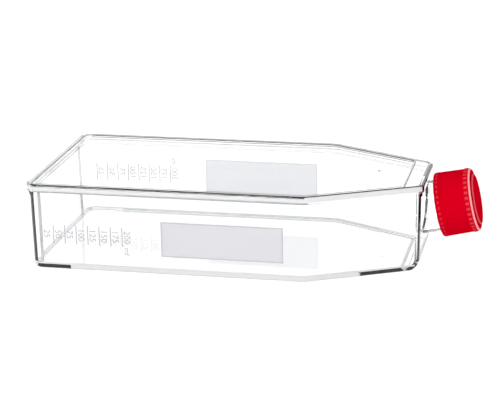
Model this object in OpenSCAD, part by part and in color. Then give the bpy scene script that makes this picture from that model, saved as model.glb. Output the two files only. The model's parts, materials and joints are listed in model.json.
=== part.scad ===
// Cell culture flask of the 175 square centimetre class, lying on its growth face.
// X runs along the flask towards the neck, Y across it and Z up. The clear tray and its neck are
// one moulding, the clear top plate is welded onto the walls, and a vented cap screws on the neck.
// The origin is under the middle of the closed flask, at the level of the rim that it stands on.

/* [Flask body] */
// Length of the straight part, from the base end to the start of the taper
straight_len = 146.7; // [120:0.5:170]
// Length of the tapered shoulder in front of the neck
taper_len = 55.2; // [45:0.5:65]
// Width across the side walls at their top
body_w = 100; // [90:1:115]
// Width of the wall that carries the neck
end_w = 43; // [40:1:50]
// Height from the rim that the flask stands on to the top of the plate's rim
body_h = 45.9; // [44:0.1:50]
// Thickness of the tray's walls and floor
wall = 1.3; // [1:0.1:1.5]
// How far each wall leans in between its top and its foot
draft = 0.7; // [0.2:0.1:1]
// Radius of the upright corners at the base end
base_corner_r = 6.5; // [5:0.5:10]
// Radius of the upright corners where the taper starts
taper_corner_r = 12; // [6:1:20]
// Radius of the upright corners beside the neck
end_corner_r = 4.5; // [4:0.5:6]
// Radius of the rounded edge between floor and neck wall
heel_r = 6.5; // [4:0.5:8]
// Radius round the foot of the other walls
foot_r = 1; // [0.6:0.1:1.2]
// Height of the rim round the growth floor's underside
stand_h = 1.3; // [0.8:0.1:1.5]
// Width of that rim
stand_w = 2.2; // [2:0.1:3]

/* [Top plate] */
// Thickness of the plate, its raised frame and its step
plate = 1.2; // [1:0.1:1.5]
// Thickness of the skirt that hangs outside the walls
skirt = 1.3; // [0.8:0.1:1.5]
// Depth of the skirt below the top of the rim
skirt_drop = 4.0; // [3:0.2:4.2]
// Depth of the sunk panel below the raised frame
recess = 2.2; // [1.5:0.1:2.5]
// Length of the wide stretch of frame above the neck
end_frame = 9.4; // [6:0.2:12]
// Height of the ledge on the wall below the skirt
ledge_h = 2.3; // [1:0.1:3]
// How far that ledge stands out
ledge_out = 0.5; // [0.2:0.1:0.8]

/* [Neck] */
// Angle of the neck above the growth face
neck_tilt = 12; // [8:1:14]
// Height of the neck's axis where it leaves the end wall
neck_z = 27.75; // [26.4:0.05:27.8]
// Outside diameter of the neck under its thread
neck_d = 27; // [25:0.5:27]
// Bore of the neck
neck_bore = 24; // [22:0.5:24]
// Length of the neck along its axis, end wall to mouth
neck_len = 25; // [24:0.25:25.75]

/* [Cap] */
// Distance from the end wall to the cap's open edge, along the neck
cap_gap = 7.6; // [6:0.1:10]
// Diameter of the cap over its ribs
cap_d = 34; // [33.5:0.1:36]
// Height of the cap's skirt and shoulder
cap_h = 19; // [18.9:0.1:20]
// Inside diameter of the cap's skirt, outside its thread
cap_bore = 30; // [29.5:0.1:31]
// Thickness of the cap's ceiling
ceiling = 1.5; // [1.2:0.1:1.5]
// Number of grip ribs
ribs = 36; // [24:1:48]
// Height of a grip rib
rib_h = 0.4; // [0.2:0.05:0.6]
// Diameter of the raised vent disc
disc_d = 26.5; // [24:0.5:28]
// Height of the raised vent disc
disc_h = 1.1; // [0.9:0.1:1.6]

/* [Vent] */
// Diameter of the membrane
membrane_d = 20; // [16:0.5:20]
// Thickness of the membrane
membrane_t = 0.3; // [0.2:0.1:0.4]
// Number of slots that let air out under the disc
slots = 8; // [4:1:12]

/* [Hidden] */
$fn = 96;
clear = 0.1;
arc_step = 12;
taper_angle = atan((body_w - end_w) / 2 / taper_len);
wall_top = body_h - plate;
panel_top = body_h - recess;
skirt_z = body_h - skirt_drop;
overhang = skirt + clear;
shoulder_s = cap_gap + cap_h;
ceiling_s = shoulder_s - ceiling;
disc_s = shoulder_s + disc_h;
plug_d = neck_bore - 0.5;
plug_wall = 1.3;
plug_h = 3;
vent_skin = 0.7;
vent_d = membrane_d - 0.8;
membrane_s = ceiling_s + 0.6;
ledge_s = membrane_s + membrane_t + clear;
cap_edge = 0.6;
rib_margin = 1.3;

// X of the furthest point of the cap, which is the rim of its raised disc.
reach = taper_len + disc_s * cos(neck_tilt) + disc_d / 2 * sin(neck_tilt);
// The drawing below starts at the taper's corner, and this puts the origin under the middle.
middle_x = (reach - straight_len - overhang) / 2;

function dir(a) = [cos(a), sin(a)];

// One rounded corner of a plan outline: the corner at p is rounded to radius r, and then the whole
// outline is moved outwards by g, which keeps the arc's centre. a0 and a1 are the directions that
// the walls before and after it face.
function corner_arc(p, r, a0, a1, g) =
    let (centre = p - r * (dir(a0) + dir(a1)) / (1 + dir(a0) * dir(a1)),
         n = ceil((a1 - a0) / arc_step))
    [for (i = [0:n]) centre + (r + g) * dir(a0 + (a1 - a0) * i / n)];

// The flask's plan, moved outwards by g, with its neck end drawn back by cut.
function plan(g, cut = 0) =
    let (a = taper_angle, x = taper_len - cut, half = end_w / 2 + cut * tan(a))
    concat(
        corner_arc([-straight_len, -body_w / 2], base_corner_r, -180, -90, g),
        corner_arc([0, -body_w / 2], taper_corner_r, -90, a - 90, g),
        corner_arc([x, -half], end_corner_r, a - 90, 0, g),
        corner_arc([x, half], end_corner_r, 0, 90 - a, g),
        corner_arc([0, body_w / 2], taper_corner_r, 90 - a, 90, g),
        corner_arc([-straight_len, body_w / 2], base_corner_r, 90, 180, g));

// How far a wall has leaned in at height z.
function lean(z) = -draft * (1 - z / body_h);

// A solid between heights z0 and z1 whose walls lean by the draft and end in a foot of radius r.
module leaning_block(g, z0, z1, r) {
    steps = 4;
    rings = concat(
        [for (i = [0:steps])
            let (a = 90 * i / steps, z = z0 + r * (1 - cos(a)))
            [z, g + lean(z) - r * (1 - sin(a))]],
        [[z1, g + lean(z1)]]);
    n = len(plan(0));
    points = [for (ring = rings) for (p = plan(ring[1])) [p[0], p[1], ring[0]]];
    sides = [for (k = [0:len(rings) - 2]) for (i = [0:n - 1])
        [k * n + i, (k + 1) * n + i, (k + 1) * n + (i + 1) % n, k * n + (i + 1) % n]];
    floor_face = [for (i = [0:n - 1]) i];
    top_face = [for (i = [n - 1:-1:0]) (len(rings) - 1) * n + i];
    polyhedron(points, concat(sides, [floor_face, top_face]), convexity = 4);
}

// What is cut away to round the lower edge of the neck end to radius r, with its floor at z0.
module heel_cut(g, z0, r) {
    x = taper_len + g + lean(z0 + r);
    rotate([90, 0, 0])
        linear_extrude(2 * body_w, center = true)
            difference() {
                translate([x - r, z0 - 1])
                    square([r + 2, r + 1]);
                translate([x - r, z0 + r])
                    circle(r);
            }
}

module rounded_block(g, z0, z1, foot, heel) {
    difference() {
        leaning_block(g, z0, z1, foot);
        heel_cut(g, z0, heel);
    }
}

// Turns local Z onto the neck's axis, with Z = 0 at the end wall.
module on_neck() {
    translate([taper_len, 0, neck_z])
        rotate([0, 90 - neck_tilt, 0])
            children();
}

module placed() {
    translate([-middle_x, 0, 0])
        children();
}

// A straight tube standing on its local Z = z0.
module tube(outer_r, inner_r, z0, h) {
    translate([0, 0, z0])
        difference() {
            cylinder(r = outer_r, h = h);
            translate([0, 0, -1])
                cylinder(r = inner_r, h = h + 2);
        }
}

// Floor, walls and canted neck, moulded in one piece.
module tray() {
    sink = 6;
    color("lightcyan", 0.5)
        placed()
            difference() {
                union() {
                    rounded_block(0, 0, wall_top, foot_r, heel_r);
                    translate([0, 0, skirt_z - ledge_h])
                        linear_extrude(ledge_h)
                            polygon(plan(ledge_out));
                    on_neck()
                        translate([0, 0, -sink])
                            cylinder(d = neck_d, h = neck_len + sink);
                }
                rounded_block(-wall, stand_h + wall, body_h, 1.3, heel_r - wall);
                // the shallow hollow under the growth floor, inside the rim that the flask stands on
                translate([0, 0, -1])
                    linear_extrude(stand_h + 1)
                        polygon(plan(-draft - stand_w, heel_r));
                on_neck()
                    translate([0, 0, -2 * sink])
                        cylinder(d = neck_bore, h = neck_len + 3 * sink);
            }
}

// Sunk panel, step, raised frame and outer skirt: one sheet of even thickness.
module top_plate() {
    step_out = -wall - clear;
    step_in = step_out - plate;
    color("azure", 0.5)
        placed()
            difference() {
                translate([0, 0, skirt_z])
                    linear_extrude(skirt_drop)
                        polygon(plan(overhang));
                // the sunk panel's upper side
                translate([0, 0, panel_top])
                    linear_extrude(recess + 1)
                        polygon(plan(step_in, end_frame + step_in));
                // the hollow under the sunk panel
                translate([0, 0, skirt_z - 1])
                    linear_extrude(1 + panel_top - plate - skirt_z)
                        polygon(plan(clear));
                // the channel under the raised frame, which takes the top of the walls
                translate([0, 0, skirt_z])
                    linear_extrude(wall_top - skirt_z)
                        difference() {
                            polygon(plan(clear));
                            polygon(plan(step_out, end_frame + step_in));
                        }
            }
}

// Plan of the cap's ribbed skirt.
function rib_plan() =
    let (pitch = 360 / ribs, root = cap_d / 2 - rib_h)
    [for (i = [0:ribs - 1]) each [
        root * dir(pitch * i),
        root * dir(pitch * (i + 0.45)),
        (root + rib_h) * dir(pitch * (i + 0.58)),
        (root + rib_h) * dir(pitch * (i + 0.87))]];

// Ribbed skirt, ceiling with a raised vent disc, and the plug that seals in the neck.
module cap() {
    skirt_r = cap_d / 2 - rib_h + 0.05;
    pocket_r = membrane_d / 2 + 0.2;
    color("red")
        placed()
            on_neck()
                difference() {
                    union() {
                        translate([0, 0, cap_gap])
                            cylinder(r = skirt_r, h = cap_h - cap_edge);
                        translate([0, 0, shoulder_s - cap_edge])
                            cylinder(r1 = skirt_r, r2 = skirt_r - cap_edge, h = cap_edge);
                        translate([0, 0, cap_gap + rib_margin])
                            linear_extrude(cap_h - 2 * rib_margin)
                                polygon(rib_plan());
                        translate([0, 0, ceiling_s])
                            cylinder(d = disc_d, h = disc_s - ceiling_s);
                    }
                    // inside of the skirt, around the plug
                    tube(cap_bore / 2, plug_d / 2, cap_gap - 1, ceiling_s - cap_gap + 1);
                    // mouth of the plug and all that lies before it
                    translate([0, 0, cap_gap - 1])
                        cylinder(d = plug_d + 1, h = ceiling_s - plug_h - cap_gap + 1);
                    translate([0, 0, cap_gap])
                        cylinder(d = plug_d - 2 * plug_wall, h = ceiling_s - cap_gap);
                    // pocket for the membrane
                    translate([0, 0, ceiling_s - 0.5])
                        cylinder(r = pocket_r, h = ledge_s - ceiling_s + 0.5);
                    // air space and its slots under the disc
                    translate([0, 0, membrane_s])
                        cylinder(d = vent_d, h = disc_s - vent_skin - membrane_s);
                    for (i = [0:slots - 1])
                        rotate([0, 0, 360 * (i + 0.5) / slots])
                            translate([vent_d / 2 - 1, -1.5, shoulder_s])
                                cube([disc_d / 2, 3, disc_s - vent_skin - shoulder_s]);
                }
}

// Round water-repellent filter disc in the pocket under the cap's ceiling.
module vent_membrane() {
    color("white")
        placed()
            on_neck()
                translate([0, 0, membrane_s])
                    cylinder(d = membrane_d, h = membrane_t);
}

tray();
top_plate();
cap();
vent_membrane();
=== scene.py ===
"""Looks of the cell culture flask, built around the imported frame.

The clear tray, the clear top plate and the red cap are made here as fine surfaces that stand for their
CAD nodes. The vent membrane stays as packed, with a finish of its own. The weld bead under the plate's
skirt and the ink on the side walls, which is thin raised print, are pieces of their own. X runs towards the
neck, Y towards the back and Z up. Lengths named below are in millimetres, and every mesh is in metres.
"""

import json
import math

import bmesh
import bpy
import numpy as np
from mathutils import Matrix, Vector


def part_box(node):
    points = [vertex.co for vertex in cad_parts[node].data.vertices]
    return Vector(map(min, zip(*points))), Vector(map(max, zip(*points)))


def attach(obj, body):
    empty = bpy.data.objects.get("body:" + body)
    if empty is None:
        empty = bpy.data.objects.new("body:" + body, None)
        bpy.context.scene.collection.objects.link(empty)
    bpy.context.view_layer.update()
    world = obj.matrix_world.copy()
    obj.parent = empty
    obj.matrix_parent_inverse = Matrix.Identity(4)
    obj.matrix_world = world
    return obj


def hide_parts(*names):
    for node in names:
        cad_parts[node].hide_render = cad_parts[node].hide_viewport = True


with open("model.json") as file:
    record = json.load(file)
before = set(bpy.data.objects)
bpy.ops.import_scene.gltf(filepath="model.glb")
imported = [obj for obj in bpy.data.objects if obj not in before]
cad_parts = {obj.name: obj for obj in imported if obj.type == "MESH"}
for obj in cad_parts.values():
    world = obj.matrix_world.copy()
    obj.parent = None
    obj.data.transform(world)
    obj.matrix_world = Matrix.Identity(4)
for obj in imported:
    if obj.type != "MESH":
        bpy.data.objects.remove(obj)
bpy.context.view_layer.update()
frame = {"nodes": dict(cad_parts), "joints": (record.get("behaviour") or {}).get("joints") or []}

MM = 0.001

# ---------------------------------------------------------------- sizes, from the frame where it has them

plate_low, plate_high = (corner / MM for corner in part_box("top_plate"))
screw = next(joint for joint in frame["joints"] if joint["name"] == "cap_turn")
NECK_START = np.array(screw["pos_m"]) / MM
NECK_AXIS = np.array(screw["axis"])

WALL = 1.3
PLATE = 1.2
FIT_GAP = 0.1
SKIRT = 1.3
OVERHANG = SKIRT + FIT_GAP
SKIRT_DROP = 4.0
RECESS = 2.2
END_FRAME = 9.4
LEDGE_HEIGHT = 2.3
LEDGE_OUT = 0.5
DRAFT = 0.7
FOOT_R = 1.0
HEEL_R = 6.5
STAND_HEIGHT = 1.3
STAND_WIDTH = 2.2
FLOOR_Z = STAND_HEIGHT + WALL
FLOOR_FILLET = 0.7
FROST_Z = (2.4, 3.3)
BASE_FROST = 3.5
BEAD_R = 0.7

TOP_Z = plate_high.z
WALL_TOP = TOP_Z - PLATE
SKIRT_Z = TOP_Z - SKIRT_DROP
PANEL_Z = TOP_Z - RECESS
SATIN_Z = (SKIRT_Z + 1.0, SKIRT_Z + 2.65, SKIRT_Z + 3.7)
SEAT_GAP = 0.06
HALF_W = plate_high.y - OVERHANG
BASE_X = plate_low.x + OVERHANG
END_X = plate_high.x - OVERHANG
TAPER_LENGTH = 55.2
TAPER_X = END_X - TAPER_LENGTH
END_HALF_W = 21.5
TAPER = math.atan((HALF_W - END_HALF_W) / TAPER_LENGTH)

OUTER_CORNERS = (6.5, 12.0, 4.5)
INNER_CORNERS = (7.1, 12.0, 5.0)
CORNER_STEP = math.radians(3)

PADS_X = (BASE_X + 22.0, TAPER_X + 25.4)
BEADS = (
    (BASE_X + 6.3, -HALF_W + WALL + 0.6, 0, -1),
    (BASE_X + WALL + 0.6, HALF_W - 16, -1, 0),
)

NECK_R = 13.5
BORE_R = 12.0
NECK_LENGTH = 25.0
LEAD = 5.0
THREAD_START = 14.5
THREAD_TURNS = 1.5
THREAD_HEIGHT = 1.1
THREAD_FOOT = 2.0
THREAD_CREST = 0.9
CAP_THREAD_TURNS = 1.1

CAP_START = 7.6
CAP_HEIGHT = 19.0
CAP_R_OPEN = 16.75
CAP_R_SHOULDER = 16.35
CAP_BORE_R = 15.0
SHOULDER_S = CAP_START + CAP_HEIGHT
CEILING_S = SHOULDER_S - 1.5
DISC_R = 13.25
DISC_S = SHOULDER_S + 1.1
DISC_MIDDLE_R = 2.0
PLUG_R = 11.75
PLUG_TIP_R = 11.6
PLUG_BORE_R = 10.45
PLUG_HEIGHT = 3.0
POCKET_R = 10.2
POCKET_DEPTH = 1.0
VENT_R = 9.6
VENT_DEPTH = 1.9
RIBS = 36
RIB_HEIGHT = 0.4
OPEN_KNOB = CAP_START + 1.7
OPEN_KNOB_HALF = 0.6
SHOULDER_KNOB = SHOULDER_S - 2.3
SHOULDER_KNOB_HALF = 1.1
SLOTS = 8
SLOT_HALF_W = 1.5
SLOT_S = (SHOULDER_S + 0.12, SHOULDER_S + 0.4)
SLOT_R = (8.6, 15.0)

# ---------------------------------------------------------------- meshes


def new_object(name, vertices, faces):
    mesh = bpy.data.meshes.new(name)
    mesh.from_pydata(np.asarray(vertices).reshape(-1, 3) * MM, [], faces)
    mesh.validate()
    obj = bpy.data.objects.new(name, mesh)
    bpy.context.scene.collection.objects.link(obj)
    return obj


def closed_surface(name, rows):
    """A closed mesh from rows of points, shape (rows, points, 3): every row is a ring, each ring is joined
    to the next by quads, and the first and last rings are filled with one flat face each."""
    count, around = rows.shape[:2]
    ring = np.arange(count * around).reshape(count, around)
    after = np.roll(ring, -1, axis=1)
    quads = np.stack([ring[:-1], after[:-1], after[1:], ring[1:]], axis=-1).reshape(-1, 4)
    faces = quads.tolist() + [ring[0, ::-1].tolist(), ring[-1].tolist()]
    obj = new_object(name, rows, faces)
    face_outwards(obj)
    return obj


def face_outwards(obj):
    """Turns every face of a closed mesh outwards, by the sign of the mesh's volume."""
    mesh = obj.data
    mesh.calc_loop_triangles()
    corners = np.empty(len(mesh.loop_triangles) * 3, np.int32)
    mesh.loop_triangles.foreach_get("vertices", corners)
    points = np.empty(len(mesh.vertices) * 3)
    mesh.vertices.foreach_get("co", points)
    a, b, c = points.reshape(-1, 3)[corners.reshape(-1, 3)].transpose(1, 0, 2)
    if np.einsum("ij,ij->", a, np.cross(b, c)) < 0:
        mesh.flip_normals()


def combine(target, tool, operation):
    """Applies one exact boolean to target, removes the tool and welds points that fall together."""
    modifier = target.modifiers.new(operation, "BOOLEAN")
    modifier.solver = "EXACT"
    modifier.operation = operation
    modifier.object = tool
    graph = bpy.context.evaluated_depsgraph_get()
    made = bpy.data.meshes.new_from_object(target.evaluated_get(graph))
    target.modifiers.clear()
    target.data = made
    bpy.data.objects.remove(tool)
    weld = bmesh.new()
    weld.from_mesh(made)
    bmesh.ops.remove_doubles(weld, verts=weld.verts, dist=0.001 * MM)
    weld.to_mesh(made)
    weld.free()


def shade(obj, crease=32):
    """Smooth shading that breaks at edges sharper than crease degrees and stays flat on large faces."""
    obj.data.shade_smooth()
    obj.data.set_sharp_from_angle(angle=math.radians(crease))
    weighted = obj.modifiers.new("even shading", "WEIGHTED_NORMAL")
    weighted.keep_sharp = True
    weighted.weight = 100


def rounded_profile(corners, steps=4):
    """A polyline whose inner corners become arcs. Each corner is (a, b, radius, extra), and the result is the
    array of (a, b, extra): the arc touches both sides at radius / tan(half the corner's angle)."""
    points = []
    flat = [np.array(c[:2], float) for c in corners]
    for i, (a, b, radius, extra) in enumerate(corners):
        if radius == 0 or i in (0, len(corners) - 1):
            points.append((a, b, extra))
            continue
        here = flat[i]
        back = (flat[i - 1] - here) / np.linalg.norm(flat[i - 1] - here)
        ahead = (flat[i + 1] - here) / np.linalg.norm(flat[i + 1] - here)
        half = math.acos(np.clip(back @ ahead, -1, 1)) / 2
        middle = (back + ahead) / np.linalg.norm(back + ahead)
        centre = here + middle * radius / math.sin(half)
        start = here + back * radius / math.tan(half) - centre
        end = here + ahead * radius / math.tan(half) - centre
        sweep = math.atan2(start[0] * end[1] - start[1] * end[0], start @ end)
        for turn in np.linspace(0, sweep, steps + 1):
            c, s = math.cos(turn), math.sin(turn)
            spoke = np.array([c * start[0] - s * start[1], s * start[0] + c * start[1]])
            points.append((*(centre + spoke), extra))
    return np.array(points)


def resampled(profile, step):
    """The same polyline with points added so that no stretch is longer than step."""
    pieces = []
    for a, b in zip(profile[:-1], profile[1:]):
        count = max(1, math.ceil(np.linalg.norm(b[:2] - a[:2]) / step))
        pieces.append(a + (b - a) * np.linspace(0, 1, count, endpoint=False)[:, None])
    return np.concatenate(pieces + [profile[-1:]])


# ---------------------------------------------------------------- the flask's plan


def facing(angle):
    return np.stack([np.cos(angle), np.sin(angle)], axis=-1)


def plan_corners(radii):
    """The arcs of the plan outline, one row a point: arc centre, how the centre moves when the neck end is
    drawn back by 1, radius, and the direction that the outline faces there."""
    base_r, taper_r, end_r = radii
    quarter = math.pi / 2
    slope = math.tan(TAPER)
    front = (
        ((BASE_X, -HALF_W), base_r, -2 * quarter, -quarter, (0, 0)),
        ((TAPER_X, -HALF_W), taper_r, -quarter, TAPER - quarter, (0, 0)),
        ((END_X, -END_HALF_W), end_r, TAPER - quarter, 0, (-1, -slope)),
    )
    back = [((x, -y), r, -a1, -a0, (px, -py)) for (x, y), r, a0, a1, (px, py) in reversed(front)]
    rows = []
    for corner, radius, a0, a1, pull in (*front, *back):
        spread = facing(a0) + facing(a1)
        centre = np.array(corner) - radius * spread / (1 + facing(a0) @ facing(a1))
        for angle in np.linspace(a0, a1, math.ceil((a1 - a0) / CORNER_STEP) + 1):
            rows.append((*centre, *pull, radius, *facing(angle)))
    return np.array(rows).T


OUTER_PLAN = plan_corners(OUTER_CORNERS)
INNER_PLAN = plan_corners(INNER_CORNERS)


def plan_rings(profile, plan=OUTER_PLAN):
    """Rings of points round the flask for a profile of (outward offset, height, draw-back of the neck end):
    a point is its corner's arc centre plus (radius + offset) times the direction it faces."""
    centre_x, centre_y, pull_x, pull_y, radius, face_x, face_y = plan
    offset, height, cut = (column[:, None] for column in profile.T)
    x = centre_x + cut * pull_x + (radius + offset) * face_x
    y = centre_y + cut * pull_y + (radius + offset) * face_y
    return np.stack([x, y, height + np.zeros_like(x)], axis=-1)


def lean(z):
    """How far a wall has leaned in at height z."""
    return -DRAFT * (1 - z / TOP_Z)


# ---------------------------------------------------------------- round things on the neck's axis


def around_neck(rings_s, rings_r, angles):
    """Points at distance s along the neck's axis and radius r from it. Angle 0 is towards +Y."""
    side = np.array([0.0, 1.0, 0.0])
    up = np.cross(NECK_AXIS, side)
    s, r, angle = np.broadcast_arrays(rings_s, rings_r, angles)
    out = np.cos(angle)[..., None] * side + np.sin(angle)[..., None] * up
    return NECK_START + s[..., None] * NECK_AXIS + r[..., None] * out


def turn_angles(count):
    return np.arange(count) * 2 * math.pi / count


def fade(value, start, end):
    """Rises smoothly from 0 at start to 1 at end."""
    t = np.clip((value - start) / (end - start), 0, 1)
    return t * t * (3 - 2 * t)


def thread(s, angle, start, turns):
    """Height, 0 to 1, of a right-hand thread ridge at distance s and angle round the axis. Its middle line is
    s = start + LEAD * turned / 2 pi, and the ridge sinks away over an eighth of a turn at both ends."""
    along = (s - start) / LEAD - angle / (2 * math.pi)
    nearest = np.round(along)
    off = np.abs(along - nearest) * LEAD
    turned = nearest + angle / (2 * math.pi)
    flank = np.clip((THREAD_FOOT / 2 - off) / (THREAD_FOOT / 2 - THREAD_CREST / 2), 0, 1)
    return flank * fade(turned, 0, 0.12) * fade(-turned, -turns, 0.12 - turns)


# ---------------------------------------------------------------- clear mouldings


def block(name, inset, low, high, foot, ledge=False, plan=OUTER_PLAN):
    """A solid with the flask's plan, leaning walls and a rounded foot, from height low to high."""
    corners = [
        (lean(low) - inset - 3 * foot, low, 0, 0),
        (lean(low) - inset, low, foot, 0),
    ]
    if ledge:
        ledge_z = SKIRT_Z - LEDGE_HEIGHT
        corners += [
            (lean(ledge_z) - inset, ledge_z, 0.3, 0),
            (LEDGE_OUT, ledge_z, 0.2, 0),
            (LEDGE_OUT, SKIRT_Z, 0, 0),
            (lean(SKIRT_Z) - inset, SKIRT_Z, 0, 0),
        ]
    corners.append((lean(high) - inset, high, 0, 0))
    profile = rounded_profile(corners, steps=6)[1:]
    return closed_surface(name, plan_rings(profile, plan))


def heel_tool(inset, low, radius):
    """What is cut off a block to round its lower edge at the neck end: a square bar less a quarter circle."""
    x = END_X - inset + lean(low + radius)
    arc = facing(np.linspace(-math.pi / 2, 0, 25)) * radius + (x - radius, low + radius)
    outer = np.array([(x + 4, low + radius), (x + 4, low - 4), (x - radius, low - 4)])
    section = np.concatenate([arc, outer])
    reach = np.array([-HALF_W, HALF_W])[:, None]
    y, sx = np.broadcast_arrays(reach, section[:, 0])
    rows = np.stack([sx, y, np.broadcast_to(section[:, 1], sx.shape)], axis=-1)
    return closed_surface("heel tool", rows)


def neck_solid():
    """The neck as a solid rod: straight, with a small root, the thread ridge and a rounded lip."""
    sunk = 6
    profile = rounded_profile([
        (-sunk, NECK_R, 0, 0),
        (NECK_LENGTH, NECK_R, 0.5, 0),
        (NECK_LENGTH, BORE_R - 1, 0, 0),
    ])
    profile = resampled(profile, 0.3)
    s, r = profile[:, :1], profile[:, 1:2]
    angles = turn_angles(144)[None]
    ridge = THREAD_HEIGHT * thread(s, angles, THREAD_START, THREAD_TURNS) * (r > NECK_R - 0.1)
    return closed_surface("neck", around_neck(s, r + ridge, angles))


def bore_tool():
    """What is cut out of the neck: its bore, widening at the lip."""
    lip = 0.4
    profile = rounded_profile([
        (-12, BORE_R, 0, 0),
        (NECK_LENGTH - lip, BORE_R, 0, 0),
        (NECK_LENGTH + 0.1, BORE_R + lip, 0, 0),
        (NECK_LENGTH + 3, BORE_R + lip, 0, 0),
    ])
    return closed_surface("bore tool", around_neck(profile[:, :1], profile[:, 1:2], turn_angles(144)[None]))


def under_floor():
    """What is cut away under the growth floor, inside the rim that the flask stands on."""
    inset = -DRAFT - STAND_WIDTH
    profile = rounded_profile([
        (inset + 0.8, -2, 0, HEEL_R),
        (inset + 0.8, 0, 0, HEEL_R),
        (inset - 0.8, STAND_HEIGHT, 0.4, HEEL_R),
        (inset - 1.4, STAND_HEIGHT, 0, HEEL_R),
    ])
    return closed_surface("under floor", plan_rings(profile))


def button(x, y, z, radius, height):
    """A flat lens centred on a point, for a gate mark: half-axes radius and height."""
    latitude = np.linspace(-1.4, 1.4, 9)[:, None]
    angles = turn_angles(24)[None]
    rows = np.stack([
        x + radius * np.cos(latitude) * np.cos(angles),
        y + radius * np.cos(latitude) * np.sin(angles),
        z + height * np.sin(latitude) + 0 * angles,
    ], axis=-1)
    return closed_surface("gate mark", rows)


def corner_bead(x, y, wall_x, wall_y):
    """An upright rod that joins a wall's inside as a shallow bead. It would pass (x, y) at the flask's top,
    and it leans in with its wall, which faces out along (wall_x, wall_y)."""
    z = np.array([STAND_HEIGHT + 0.6, WALL_TOP - 3])[:, None]
    angle = turn_angles(16)[None]
    bead_x = x + wall_x * lean(z) + BEAD_R * np.cos(angle)
    bead_y = y + wall_y * lean(z) + BEAD_R * np.sin(angle)
    return closed_surface("corner bead", np.stack([bead_x, bead_y, z + 0 * bead_x], axis=-1))


def cut_faces(obj, cuts):
    """Cuts the mesh along planes, each (point, normal), and returns the faces' middles and normals."""
    mesh = bmesh.new()
    mesh.from_mesh(obj.data)
    for point, normal in cuts:
        everything = mesh.verts[:] + mesh.edges[:] + mesh.faces[:]
        bmesh.ops.bisect_plane(mesh, geom=everything, dist=1e-7, plane_co=point, plane_no=normal)
    mesh.to_mesh(obj.data)
    mesh.free()
    middles, normals = np.empty(len(obj.data.polygons) * 3), np.empty(len(obj.data.polygons) * 3)
    obj.data.polygons.foreach_get("center", middles)
    obj.data.polygons.foreach_get("normal", normals)
    return middles.reshape(-1, 3).T / MM, normals.reshape(-1, 3).T


def level_cut(z):
    return (0, 0, z * MM), (0, 0, 1)


def frost_foot(tray):
    """Frosts the band round the foot, as the mesh's second material, and the beads, as its third. The lower
    part of the band stays clear on the four pads, near both ends of the long sides."""
    cuts = [((x * MM, 0, 0), (1, 0, 0)) for x in PADS_X]
    cuts += [level_cut(z) for z in (STAND_HEIGHT, *FROST_Z)]
    (x, y, z), (out_x, out_y, out_z) = cut_faces(tray, cuts)
    middle_x = TAPER_X - 40
    outward = out_x * (x - middle_x) + out_y * y > 0
    upright = np.abs(out_z) < 0.97
    end_half = np.where(x < PADS_X[0], HALF_W - 8, END_HALF_W - 6)
    away = (x > PADS_X[0]) & (x < PADS_X[1]) | (np.abs(y) < end_half) | (x < BASE_X + BASE_FROST)
    heel = x > END_X - HEEL_R - 1
    outside = outward & upright & (z < FROST_Z[1]) & (away | (z > FROST_Z[0])) & ~heel
    inside = ~outward & upright & (z < STAND_HEIGHT) & away & ~heel
    beads = np.zeros_like(inside)
    for bead_x, bead_y, wall_x, wall_y in BEADS:
        off_x, off_y = x - bead_x - wall_x * lean(z), y - bead_y - wall_y * lean(z)
        beads |= (np.hypot(off_x, off_y) < BEAD_R + 0.05) & (z > FROST_Z[1])
    tray.data.polygons.foreach_set("material_index", ((outside | inside) + 2 * beads).astype(np.int32))


def frost_skirt(plate):
    """Gives the skirt a satin band outside, along both long sides and higher on the tapered part, which hides
    the sunken panel behind it."""
    (x, y, z), (out_x, out_y, _) = cut_faces(plate, [level_cut(level) for level in SATIN_Z])
    low, high, high_taper = SATIN_Z
    outward = out_y * np.sign(y) > 0.5
    beyond_taper = (np.abs(y) - END_HALF_W - (END_X - x) * math.tan(TAPER)) * math.cos(TAPER)
    beyond = np.max([np.abs(y) - HALF_W, BASE_X - x, x - END_X, beyond_taper], axis=0)
    band = outward & (beyond > -0.9 * WALL) & (z > low) & (z < np.where(x > TAPER_X, high_taper, high))
    plate.data.polygons.foreach_set("material_index", band.astype(np.int32))


def make_weld():
    """The cloudy bead of the weld between skirt and walls: thin upright strips low in the gap there, along
    the straight part of both long sides."""
    low, high = SKIRT_Z + 0.05, SKIRT_Z + 0.95
    profile = np.array([(-0.02, low, 0), (0.07, low, 0), (0.07, high, 0), (-0.02, high, 0)])
    stations = plan_rings(profile).transpose(1, 0, 2)
    strips = [closed_surface("strip", stations[stations[:, 0, 1] * side > HALF_W - 1]) for side in (-1, 1)]
    weld = joined("weld_bead", strips)
    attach(weld, "flask")
    return weld


def make_tray():
    """Floor, leaning walls with a ledge, heel, foot rim and neck with its thread, as one hollow moulding."""
    tray = block("tray_shell", 0, 0, WALL_TOP - SEAT_GAP, FOOT_R, ledge=True)
    combine(tray, heel_tool(0, 0, HEEL_R), "DIFFERENCE")
    combine(tray, under_floor(), "DIFFERENCE")
    combine(tray, neck_solid(), "UNION")
    cavity = block("cavity", WALL, FLOOR_Z, WALL_TOP + 2, FLOOR_FILLET, plan=INNER_PLAN)
    combine(cavity, heel_tool(WALL, FLOOR_Z, HEEL_R - WALL), "DIFFERENCE")
    combine(tray, cavity, "DIFFERENCE")
    combine(tray, bore_tool(), "DIFFERENCE")
    combine(tray, button(TAPER_X + 33, -9.5, STAND_HEIGHT, 0.9, 0.35), "DIFFERENCE")
    for bead in BEADS:
        combine(tray, corner_bead(*bead), "UNION")
    frost_foot(tray)
    shade(tray)
    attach(tray, "flask")
    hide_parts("tray")
    return tray


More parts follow.
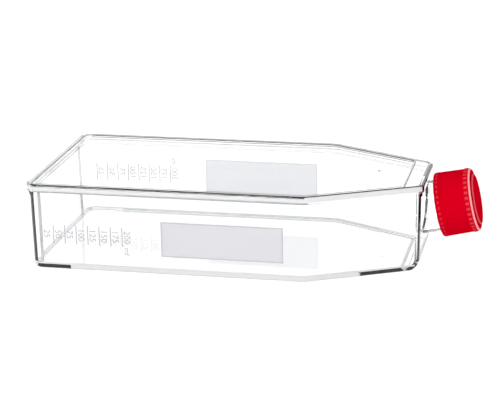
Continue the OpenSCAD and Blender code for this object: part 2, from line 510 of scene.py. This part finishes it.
def make_top_plate():
    """One sheet of even thickness with panel, step, raised frame and skirt, drawn from the panel's underside
    out to the skirt and back over the top."""
    outside, inside = -WALL - FIT_GAP, -WALL - FIT_GAP - PLATE
    cut = END_FRAME + inside
    profile = rounded_profile([
        (outside - 1, PANEL_Z - PLATE, 0, cut),
        (outside, PANEL_Z - PLATE, 0.8, cut),
        (outside, WALL_TOP, 0.2, cut),
        (FIT_GAP, WALL_TOP, 0.2, 0),
        (FIT_GAP, SKIRT_Z, 0.15, 0),
        (OVERHANG, SKIRT_Z, 0.25, 0),
        (OVERHANG, TOP_Z, 1.15, 0),
        (inside, TOP_Z, 0.5, cut),
        (inside, PANEL_Z, 0.3, cut),
        (inside - 1, PANEL_Z, 0, cut),
    ], steps=5)
    plate = closed_surface("top_plate_shell", plan_rings(profile[1:-1]))
    combine(plate, button(TAPER_X + 29.3, 8.8, PANEL_Z, 0.9, 0.3), "UNION")
    frost_skirt(plate)
    shade(plate)
    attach(plate, "flask")
    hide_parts("top_plate")
    return plate


# ---------------------------------------------------------------- cap


def cap_profile():
    """Half section of the cap as (s, r, which stretch it is): from the raised disc's middle over the shoulder
    and down the grip, then up inside the skirt and round the plug to the middle of the air space."""
    plain, grip, inner = 0, 1, 2
    return rounded_profile([
        (DISC_S, DISC_MIDDLE_R, 0, plain),
        (DISC_S, DISC_R, 0.4, plain),
        (SHOULDER_S, DISC_R, 0.25, plain),
        (SHOULDER_S, CAP_R_SHOULDER, 0.6, grip),
        (CAP_START, CAP_R_OPEN, 0.35, grip),
        (CAP_START, CAP_BORE_R, 0.3, inner),
        (CEILING_S, CAP_BORE_R, 0.3, inner),
        (CEILING_S, PLUG_R, 0.2, plain),
        (CEILING_S - PLUG_HEIGHT, PLUG_TIP_R, 0.5, plain),
        (CEILING_S - PLUG_HEIGHT, PLUG_BORE_R, 0.4, plain),
        (CEILING_S, PLUG_BORE_R, 0, plain),
        (CEILING_S, POCKET_R, 0, plain),
        (CEILING_S + POCKET_DEPTH, POCKET_R, 0, plain),
        (CEILING_S + POCKET_DEPTH, VENT_R, 0, plain),
        (CEILING_S + VENT_DEPTH, VENT_R, 0, plain),
        (CEILING_S + VENT_DEPTH, DISC_MIDDLE_R, 0, plain),
    ], steps=5)


def rib_shape(s, angle):
    """Height, 0 to 1, of the grip ribs: a cosine round the cap, low along the grip, higher in a short knob
    near the open edge and full in one near the shoulder."""
    wave = 0.5 + 0.5 * np.cos(RIBS * angle)
    band = fade(s, CAP_START + 0.2, CAP_START + 0.5) * fade(-s, -SHOULDER_S + 1.1, -SHOULDER_S + 1.4)
    knobs = 0.4 * knob(s, OPEN_KNOB, OPEN_KNOB_HALF) + knob(s, SHOULDER_KNOB, SHOULDER_KNOB_HALF)
    return band * (0.3 * wave + 0.7 * wave**2 * knobs)


def knob(s, middle, half):
    """1 round the middle, falling smoothly to 0 at half either way."""
    return 1 - fade(np.abs(s - middle), half * 0.6, half)


def mark_painted_highlights(cap):
    """Stores a painted highlight for each point of the cap: pale marks for light caught on the knobs of the
    ribs and on the rounded edges of the shoulder and the disc, from the point's distance along the axis, its
    radius and its angle."""
    mesh = cap.data
    flat = np.empty(len(mesh.vertices) * 3)
    mesh.vertices.foreach_get("co", flat)
    from_start = flat.reshape(-1, 3) / MM - NECK_START
    s = from_start @ NECK_AXIS
    side = np.array([0.0, 1.0, 0.0])
    y, z = from_start @ side, from_start @ np.cross(NECK_AXIS, side)
    r, angle = np.hypot(y, z), np.arctan2(z, y)
    # painted highlights: pale ticks on the rib knobs stand for light caught on the ends of the ribs
    knobs = 0.05 * knob(s, OPEN_KNOB, OPEN_KNOB_HALF) + 0.1 * knob(s, SHOULDER_KNOB, SHOULDER_KNOB_HALF)
    rib_end_highlights = knobs * (0.5 + 0.5 * np.cos(RIBS * angle))**2 * (r > CAP_BORE_R + 0.5)
    # painted highlights: pale lines on the rounded shoulder edge and the disc edge stand for light caught
    # there
    edge = knob(s, SHOULDER_S - 0.2, 0.6) * fade(r, CAP_R_SHOULDER - 0.9, CAP_R_SHOULDER - 0.5)
    edge += 0.3 * knob(s, DISC_S - 0.2, 0.5) * fade(r, DISC_R - 0.8, DISC_R - 0.4)
    painted_highlight = mesh.attributes.new("painted_highlight", "FLOAT", "POINT")
    painted_highlight.data.foreach_set("value", np.clip(rib_end_highlights + 0.6 * edge, 0, 1).astype(np.float32))


def slot_tools():
    """Flat bars through the raised disc's side, where air leaves the space under it."""
    across = SLOT_HALF_W * np.array([-1, 1, 1, -1])
    height = np.repeat(SLOT_S, 2)
    side = np.array([0.0, 1.0, 0.0])
    up = np.cross(NECK_AXIS, side)
    tools = []
    for angle in 2 * math.pi * (np.arange(SLOTS) + 0.5) / SLOTS:
        out = math.cos(angle) * side + math.sin(angle) * up
        beside = np.cross(NECK_AXIS, out)
        section = NECK_START + height[:, None] * NECK_AXIS + across[:, None] * beside
        tools.append(closed_surface("slot tool", np.stack([section + r * out for r in SLOT_R])))
    return tools


def make_cap():
    """The cap turned from its half section, with grip ribs outside, a thread ridge inside and vent slots."""
    profile = resampled(cap_profile(), 0.35)
    s, r, stretch = (column[:, None] for column in profile.T)
    angles = turn_angles(RIBS * 8)[None]
    ribs = RIB_HEIGHT * rib_shape(s, angles) * (stretch == 1)
    ridge = THREAD_HEIGHT * thread(s, angles, THREAD_START + LEAD / 2, CAP_THREAD_TURNS) * (stretch == 2)
    cap = closed_surface("cap_shell", around_neck(s, r + ribs - ridge, angles))
    for tool in slot_tools():
        combine(cap, tool, "DIFFERENCE")
    # pale painted highlights on the rib knobs and on the shoulder and disc edges
    mark_painted_highlights(cap)
    shade(cap, crease=40)
    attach(cap, "cap")
    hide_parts("cap")
    return cap


# ---------------------------------------------------------------- print on the side walls

PRINT_LIFT = 0.03
PRINT_THICK = 0.03
FRONT, BACK = -1, 1
PRINT_Z = {FRONT: 19.2, BACK: 23.5}
PANEL_X = (TAPER_X - 75.3, TAPER_X - 11.2)
PANEL_HEIGHT = 19.0
PANEL_BORDER = 0.7
MARK_PITCH = 6.18
MARK_FIRST_X = TAPER_X - 139.6
MARK_LENGTH = 10.4
MARK_WIDTH = 0.6
MARKS = 8
MARK_STEP_ML = 25
FIGURE_HEIGHT = 3.4
FIGURE_LIFT = 1.3
FONT_SIZE_PER_HEIGHT = 1.4
STROKE_SWELL = 0.05


def onto_wall(obj, side):
    """Moves flat print from the drawing plane onto a side wall. In the drawing x runs in the reading
    direction, y towards the neck and z out of the wall, so the print is upright with the neck up."""
    count = len(obj.data.vertices)
    flat = np.empty(count * 3)
    obj.data.vertices.foreach_get("co", flat)
    read, along, out = flat.reshape(-1, 3).T
    z = PRINT_Z[side] + side * read
    y = side * (HALF_W + lean(z) + PRINT_LIFT + out)
    obj.data.vertices.foreach_set("co", (np.stack([along, y, z], axis=-1) * MM).ravel())
    obj.data.update()
    face_outwards(obj)
    return obj


def flat_bars(name, bars):
    """Thin closed slabs, each given as (read from, read to, along from, along to)."""
    bars = np.asarray(bars, float)
    read, along = bars[:, [0, 1, 1, 0]], bars[:, [2, 2, 3, 3]]
    level = np.array([0, PRINT_THICK])[None, :, None]
    x, y, z = np.broadcast_arrays(read[:, None], along[:, None], level)
    cube = np.array([(0, 3, 2, 1), (4, 5, 6, 7), (0, 1, 5, 4), (1, 2, 6, 5), (2, 3, 7, 6), (3, 0, 4, 7)])
    faces = (cube[None] + 8 * np.arange(len(bars))[:, None, None]).reshape(-1, 4)
    return new_object(name, np.stack([x, y, z], axis=-1) / MM, faces.tolist())


def lettering(text, read, along, height):
    """Plain figures as a thin closed mesh, reading from read, their foot at along."""
    curve = bpy.data.curves.new("figures", "FONT")
    curve.body = text
    curve.size = height * FONT_SIZE_PER_HEIGHT
    curve.extrude = PRINT_THICK / 2
    curve.resolution_u = 3
    curve.offset = STROKE_SWELL
    curve.align_x = "CENTER"
    obj = bpy.data.objects.new("figures", curve)
    bpy.context.scene.collection.objects.link(obj)
    bpy.context.view_layer.update()
    graph = bpy.context.evaluated_depsgraph_get()
    mesh = bpy.data.meshes.new_from_object(obj.evaluated_get(graph))
    bpy.data.objects.remove(obj)
    count = len(mesh.vertices)
    points = np.empty(count * 3)
    mesh.vertices.foreach_get("co", points)
    points = points.reshape(-1, 3) + (read, along, PRINT_THICK / 2)
    mesh.vertices.foreach_set("co", points.ravel())
    made = bpy.data.objects.new("figures", mesh)
    bpy.context.scene.collection.objects.link(made)
    return made


def joined(name, parts):
    """One object from several meshes."""
    vertices, faces, start = [], [], 0
    for part in parts:
        mesh = part.data
        points = np.empty(len(mesh.vertices) * 3)
        mesh.vertices.foreach_get("co", points)
        vertices.append(points.reshape(-1, 3))
        faces += [[start + v for v in face.vertices] for face in mesh.polygons]
        start += len(mesh.vertices)
        bpy.data.objects.remove(part)
    return new_object(name, np.concatenate(vertices) / MM, faces)


def panel_bars():
    """The writing panel as a field and the four bars of its border."""
    edge, (start, end) = PANEL_HEIGHT / 2, PANEL_X
    inner = edge - PANEL_BORDER
    return [
        (-inner, inner, start + PANEL_BORDER, end - PANEL_BORDER),
        (-edge, -inner, start, end),
        (inner, edge, start, end),
        (-inner, inner, start, start + PANEL_BORDER),
        (-inner, inner, end - PANEL_BORDER, end),
    ]


def make_print(side, word):
    """The writing panel and, towards the base end, the volume scale of one side wall."""
    panel = flat_bars(word + "_writing_panel", panel_bars())
    in_border = np.arange(len(panel.data.polygons)) >= 6
    panel.data.polygons.foreach_set("material_index", in_border.astype(np.int32))
    onto_wall(panel, side)
    marks, parts = [], []
    for step in range(MARKS):
        x = MARK_FIRST_X + step * MARK_PITCH
        marks.append((-MARK_LENGTH / 2, MARK_LENGTH / 2, x, x + MARK_WIDTH))
        parts.append(lettering(str(MARK_STEP_ML * (step + 1)), 0, x + FIGURE_LIFT, FIGURE_HEIGHT))
    parts.append(lettering("ml", MARK_LENGTH / 2 + 2.6, x + FIGURE_LIFT, FIGURE_HEIGHT * 0.9))
    scale = joined(word + "_volume_scale", [flat_bars("marks", marks), *parts])
    onto_wall(scale, side)
    for piece in (panel, scale):
        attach(piece, "flask")
    return panel, scale


# ---------------------------------------------------------------- materials

CLEAR_IOR = 1.59


def tree_of(owner):
    owner.use_nodes = True
    owner.node_tree.nodes.clear()
    return owner.node_tree


def link(tree, source, output, target, socket):
    tree.links.new(source.outputs[output], target.inputs[socket])


def moulded_skin():
    """Shared effect: a roughness that drifts between two values and a normal with shallow flow waves."""
    group = bpy.data.node_groups.new("moulded skin", "ShaderNodeTree")
    for name, value in (("Grain scale", 900.0), ("Smooth", 0.0), ("Rough", 0.05),
                        ("Wave scale", 60.0), ("Wave depth", 0.02)):
        socket = group.interface.new_socket(name, in_out="INPUT", socket_type="NodeSocketFloat")
        socket.default_value = value
    group.interface.new_socket("Roughness", in_out="OUTPUT", socket_type="NodeSocketFloat")
    group.interface.new_socket("Normal", in_out="OUTPUT", socket_type="NodeSocketVector")
    nodes = group.nodes
    given, made = nodes.new("NodeGroupInput"), nodes.new("NodeGroupOutput")
    place = nodes.new("ShaderNodeTexCoord")
    grain, wave = nodes.new("ShaderNodeTexNoise"), nodes.new("ShaderNodeTexNoise")
    grain.inputs["Detail"].default_value = 3
    wave.inputs["Detail"].default_value = 1
    spread, bump = nodes.new("ShaderNodeMapRange"), nodes.new("ShaderNodeBump")
    bump.inputs["Distance"].default_value = 0.001
    for noise, scale in ((grain, "Grain scale"), (wave, "Wave scale")):
        link(group, place, "Object", noise, "Vector")
        link(group, given, scale, noise, "Scale")
    link(group, grain, "Fac", spread, "Value")
    link(group, given, "Smooth", spread, "To Min")
    link(group, given, "Rough", spread, "To Max")
    link(group, wave, "Fac", bump, "Height")
    link(group, given, "Wave depth", bump, "Strength")
    link(group, spread, "Result", made, "Roughness")
    link(group, bump, "Normal", made, "Normal")
    return group


SKIN = moulded_skin()


def skinned(name, fixed, skin):
    """A Principled material with fixed socket values, whose roughness and normal come from the skin group."""
    material = bpy.data.materials.new(name)
    tree = tree_of(material)
    surface = tree.nodes.new("ShaderNodeBsdfPrincipled")
    out = tree.nodes.new("ShaderNodeOutputMaterial")
    effect = tree.nodes.new("ShaderNodeGroup")
    effect.node_tree = SKIN
    for socket, value in fixed.items():
        surface.inputs[socket].default_value = value
    for socket, value in skin.items():
        effect.inputs[socket].default_value = value
    link(tree, effect, "Roughness", surface, "Roughness")
    link(tree, effect, "Normal", surface, "Normal")
    link(tree, surface, "BSDF", out, "Surface")
    return material, tree, surface


def mottled(tree, surface, dark, light, scale):
    """Base colour drifting between two tones."""
    place, noise = tree.nodes.new("ShaderNodeTexCoord"), tree.nodes.new("ShaderNodeTexNoise")
    mix = tree.nodes.new("ShaderNodeMix")
    mix.data_type = "RGBA"
    noise.inputs["Scale"].default_value = scale
    noise.inputs["Detail"].default_value = 4
    mix.inputs["A"].default_value = (*dark, 1)
    mix.inputs["B"].default_value = (*light, 1)
    link(tree, place, "Object", noise, "Vector")
    link(tree, noise, "Fac", mix, "Factor")
    link(tree, mix, "Result", surface, "Base Color")


def worked_out(tree, source, output, operation, values):
    """A math node on a source and fixed values. A comparison gives 1 where it holds, and 0 elsewhere."""
    node = tree.nodes.new("ShaderNodeMath")
    node.operation = operation
    for socket, value in enumerate(values, start=1):
        node.inputs[socket].default_value = value
    link(tree, source, output, node, 0)
    return node


def trapped_light(tree):
    """How much of the light mirrored inside a wall is lost: all of it, and less at the sunken panel's height,
    in the rim over the base end and in the thin neck."""
    place, split = tree.nodes.new("ShaderNodeTexCoord"), tree.nodes.new("ShaderNodeSeparateXYZ")
    link(tree, place, "Object", split, "Vector")
    sheet = (PANEL_Z - PLATE / 2) * MM, (PLATE / 2 + 0.15) * MM
    at_panel = worked_out(tree, split, "Z", "COMPARE", sheet)
    in_rim = worked_out(tree, split, "Z", "GREATER_THAN", [(SKIRT_Z - 0.5) * MM])
    at_base = worked_out(tree, split, "X", "LESS_THAN", [(BASE_X + 5) * MM])
    base_rim = worked_out(tree, in_rim, "Value", "MULTIPLY", [])
    link(tree, at_base, "Value", base_rim, 1)
    at_neck = worked_out(tree, split, "X", "GREATER_THAN", [(END_X + 1.5) * MM])
    in_neck = worked_out(tree, at_neck, "Value", "MULTIPLY", [0.6])
    at_ends = worked_out(tree, base_rim, "Value", "MAXIMUM", [])
    link(tree, in_neck, "Value", at_ends, 1)
    less = worked_out(tree, at_panel, "Value", "MAXIMUM", [])
    link(tree, at_ends, "Value", less, 1)
    lost = tree.nodes.new("ShaderNodeMapRange")
    lost.inputs["To Min"].default_value = 1.0
    lost.inputs["To Max"].default_value = 0.3
    link(tree, less, "Value", lost, "Value")
    return lost


def plain_refraction(tree):
    """Refraction alone, so that light which would be mirrored inside the plastic is lost."""
    inside = tree.nodes.new("ShaderNodeBsdfRefraction")
    inside.inputs["IOR"].default_value = CLEAR_IOR
    inside.inputs["Roughness"].default_value = 0.0
    return inside


def clear_polystyrene():
    """Clear plastic, where light that would be mirrored from inside a wall stays in the moulding, so its
    edges and corners turn dark as they do on a bright ground."""
    material, tree, surface = skinned(
        "clear polystyrene",
        {"Base Color": (0.985, 0.992, 1.0, 1), "Transmission Weight": 1.0, "IOR": CLEAR_IOR},
        {"Grain scale": 400, "Smooth": 0.0, "Rough": 0.012, "Wave scale": 25, "Wave depth": 0.01},
    )
    side, mix = tree.nodes.new("ShaderNodeNewGeometry"), tree.nodes.new("ShaderNodeMixShader")
    share = worked_out(tree, side, "Backfacing", "MULTIPLY", [])
    link(tree, trapped_light(tree), "Result", share, 1)
    link(tree, share, "Value", mix, "Fac")
    link(tree, surface, "BSDF", mix, 1)
    link(tree, plain_refraction(tree), "BSDF", mix, 2)
    link(tree, mix, "Shader", tree.nodes["Material Output"], "Surface")
    return material


def red_polyethylene():
    material, tree, surface = skinned(
        "red polyethylene",
        {"IOR": 1.5, "Subsurface Weight": 0.06, "Subsurface Radius": (1.0, 0.08, 0.05),
         "Subsurface Scale": 0.0015, "Specular IOR Level": 0.0},
        {"Grain scale": 2500, "Smooth": 0.28, "Rough": 0.42, "Wave scale": 400, "Wave depth": 0.05},
    )
    mottled(tree, surface, (0.44, 0.0, 0.007), (0.47, 0.0, 0.009), 60)
    # painted highlights: the red turns pale pink on the rib knobs and on the shoulder and disc edges, where
    # light catches
    lightened_by_painted_highlight(tree, surface, "painted_highlight", (0.95, 0.50, 0.54))
    return material


def lightened_by_painted_highlight(tree, surface, name, tone):
    """Paints highlights: turns the base colour towards a pale tone where the mesh's attribute holds a painted
    highlight.
    """
    before = surface.inputs["Base Color"].links[0].from_socket
    highlight_mask, mix = tree.nodes.new("ShaderNodeAttribute"), tree.nodes.new("ShaderNodeMix")
    highlight_mask.attribute_name = name
    mix.data_type = "RGBA"
    mix.inputs["B"].default_value = (*tone, 1)
    tree.links.new(before, mix.inputs["A"])
    link(tree, highlight_mask, "Fac", mix, "Factor")
    link(tree, mix, "Result", surface, "Base Color")


def filter_membrane():
    material, tree, surface = skinned(
        "filter membrane",
        {"IOR": 1.4},
        {"Grain scale": 4000, "Smooth": 0.7, "Rough": 0.95, "Wave scale": 3000, "Wave depth": 0.5},
    )
    mottled(tree, surface, (0.82, 0.82, 0.80), (0.90, 0.90, 0.89), 2500)
    return material


def thin_matt(name, dark, light, through):
    """A thin matt layer, of ink or of frosted plastic, which lets some of the light behind it through."""
    material, tree, surface = skinned(
        name,
        {"IOR": 1.5},
        {"Grain scale": 1500, "Smooth": 0.45, "Rough": 0.65, "Wave scale": 1200, "Wave depth": 0.05},
    )
    mottled(tree, surface, dark, light, 700)
    thin, mix = tree.nodes.new("ShaderNodeBsdfTranslucent"), tree.nodes.new("ShaderNodeMixShader")
    mix.inputs["Fac"].default_value = through
    thin.inputs["Color"].default_value = (*light, 1)
    link(tree, surface, "BSDF", mix, 1)
    link(tree, thin, "BSDF", mix, 2)
    link(tree, mix, "Shader", tree.nodes["Material Output"], "Surface")
    return material


def satin_polystyrene():
    """Finely textured outside: matt to light from outside, and clear to light that is already inside it."""
    material = thin_matt("satin polystyrene", (0.96, 0.975, 0.97), (0.99, 0.99, 0.99), 0.5)
    tree = material.node_tree
    side, mix = tree.nodes.new("ShaderNodeNewGeometry"), tree.nodes.new("ShaderNodeMixShader")
    output = tree.nodes["Material Output"]
    tree.links.new(output.inputs["Surface"].links[0].from_socket, mix.inputs[1])
    link(tree, side, "Backfacing", mix, "Fac")
    link(tree, plain_refraction(tree), "BSDF", mix, 2)
    link(tree, mix, "Shader", output, "Surface")
    return material


def paint(obj, *materials):
    """Puts materials on a piece in the order of its faces' material numbers."""
    numbers = np.zeros(len(obj.data.polygons), np.int32)
    obj.data.polygons.foreach_get("material_index", numbers)
    obj.data.materials.clear()
    for material in materials:
        obj.data.materials.append(material)
    obj.data.polygons.foreach_set("material_index", np.minimum(numbers, len(materials) - 1))


# ---------------------------------------------------------------- stage, light and camera


def make_stage():
    """A wide pale floor just under the flask."""
    size = 30000
    z = -0.12
    corners = [(-size, -size, z), (size, -size, z), (size, size, z), (-size, size, z)]
    floor = new_object("floor", corners, [(0, 1, 2, 3)])
    material = bpy.data.materials.new("white floor")
    tree = tree_of(material)
    surface = tree.nodes.new("ShaderNodeBsdfPrincipled")
    out = tree.nodes.new("ShaderNodeOutputMaterial")
    surface.inputs["Base Color"].default_value = (0.2, 0.2, 0.2, 1)
    surface.inputs["Roughness"].default_value = 1.0
    surface.inputs["Specular IOR Level"].default_value = 0.0
    surface.inputs["Emission Color"].default_value = (1, 1, 1, 1)
    surface.inputs["Emission Strength"].default_value = 0.92
    link(tree, surface, "BSDF", out, "Surface")
    paint(floor, material)


def make_sky():
    """White round the horizon, brighter in front, and dark overhead, so that clear edges draw dark lines."""
    world = bpy.data.worlds.new("studio")
    bpy.context.scene.world = world
    tree = tree_of(world)
    place, split = tree.nodes.new("ShaderNodeTexCoord"), tree.nodes.new("ShaderNodeSeparateXYZ")
    ramp, glow = tree.nodes.new("ShaderNodeMapRange"), tree.nodes.new("ShaderNodeBackground")
    out = tree.nodes.new("ShaderNodeOutputWorld")
    front, both = tree.nodes.new("ShaderNodeMapRange"), tree.nodes.new("ShaderNodeMath")
    both.operation = "MULTIPLY"
    ramp.interpolation_type = "SMOOTHSTEP"
    for socket, value in (("From Min", 0.8), ("From Max", -0.8), ("To Min", 0.82), ("To Max", 1.5)):
        front.inputs[socket].default_value = value
    for socket, value in (("From Min", 0.45), ("From Max", 0.75), ("To Min", 1.9), ("To Max", 0.4)):
        ramp.inputs[socket].default_value = value
    link(tree, place, "Generated", split, "Vector")
    link(tree, split, "Z", ramp, "Value")
    link(tree, split, "Y", front, "Value")
    link(tree, ramp, "Result", both, 0)
    link(tree, front, "Result", both, 1)
    link(tree, both, "Value", glow, "Strength")
    link(tree, glow, "Background", out, "Surface")


def make_light(name, place, aim, size, power):
    """A soft rectangular lamp, with place, aim and size in metres."""
    lamp = bpy.data.lights.new(name, "AREA")
    lamp.shape = "RECTANGLE"
    lamp.size, lamp.size_y = size
    lamp.energy = power
    obj = bpy.data.objects.new(name, lamp)
    obj.location = place
    obj.rotation_euler = (Vector(aim) - Vector(place)).to_track_quat("-Z", "Y").to_euler()
    bpy.context.scene.collection.objects.link(obj)


def make_camera():
    """Stands 0.95 m off, in front and a little to the neck's side, 17.5 degrees up, rolled one degree."""
    place = Vector((TAPER_X + 158.31, -884.19, TOP_Z + 263.87)) * MM
    aim = Vector((TAPER_X - 39.24, 0.74, TOP_Z - 22.3)) * MM
    turn = (aim - place).to_track_quat("-Z", "Y").to_matrix()
    roll = Matrix.Rotation(math.radians(-1.07), 3, "Z")
    camera = bpy.data.cameras.new("camera")
    camera.lens = 127.76
    obj = bpy.data.objects.new("camera", camera)
    obj.location = place
    obj.rotation_euler = (turn @ roll).to_euler()
    bpy.context.scene.collection.objects.link(obj)
    bpy.context.scene.camera = obj


# ---------------------------------------------------------------- the scene

make_camera()
make_stage()
make_sky()
make_light("key", (-0.5, -0.8, 1.3), (0, 0, 0.02), (0.6, 0.6), 10)

clear = clear_polystyrene()
frosted_foot = thin_matt("frosted foot", (0.83, 0.845, 0.85), (0.87, 0.88, 0.885), 0.5)
cloudy = thin_matt("cloudy polystyrene", (0.96, 0.975, 0.97), (0.99, 0.99, 0.99), 0.5)
paint(make_tray(), clear, frosted_foot, cloudy)
paint(make_weld(), cloudy)
paint(make_top_plate(), clear, satin_polystyrene())
paint(make_cap(), red_polyethylene())
paint(frame["nodes"]["vent_membrane"], filter_membrane())
panel_ink = thin_matt("panel ink", (0.86, 0.86, 0.885), (0.91, 0.91, 0.935), 0.66)
# a darker grey band round the edge of the writing panel
darker_panel_border = thin_matt("darker panel border", (0.74, 0.74, 0.77), (0.79, 0.79, 0.815), 0.66)
scale_ink = thin_matt("scale ink", (0.50, 0.49, 0.52), (0.58, 0.56, 0.59), 0.35)
for side, word in ((FRONT, "front"), (BACK, "back")):
    panel, scale = make_print(side, word)
    paint(panel, panel_ink, darker_panel_border)
    paint(scale, scale_ink)

bpy.context.scene.view_settings.view_transform = "Standard"
